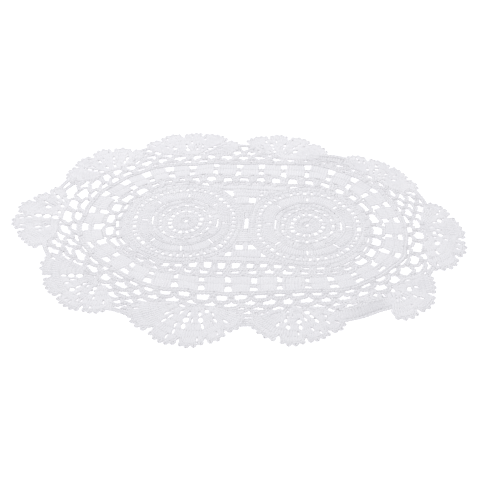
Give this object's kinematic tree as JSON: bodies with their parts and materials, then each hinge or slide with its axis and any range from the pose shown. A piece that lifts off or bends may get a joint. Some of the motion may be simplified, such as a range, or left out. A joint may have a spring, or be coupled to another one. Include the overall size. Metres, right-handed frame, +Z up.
{
  "type": "lace doily",
  "caption": "Flat oval crochet lace mat in white cotton, with two round rosettes, a ring of solid leaves, an open net and a fan-scalloped edge.",
  "frame": {"origin": "Middle of the doily's outline, on the table that it lies on.", "axes": "+X runs the long way, through the middles of both rosettes. +Y runs the short way, away from the viewer. +Z is up."},
  "size_m": [0.4064, 0.2936, 0.0067],
  "materials": {
    "cotton": "matt white crochet cotton, worked stitch by stitch"
  },
  "bodies": {
    "root": {"lace_doily": "cotton"}
  },
  "joints": []
}
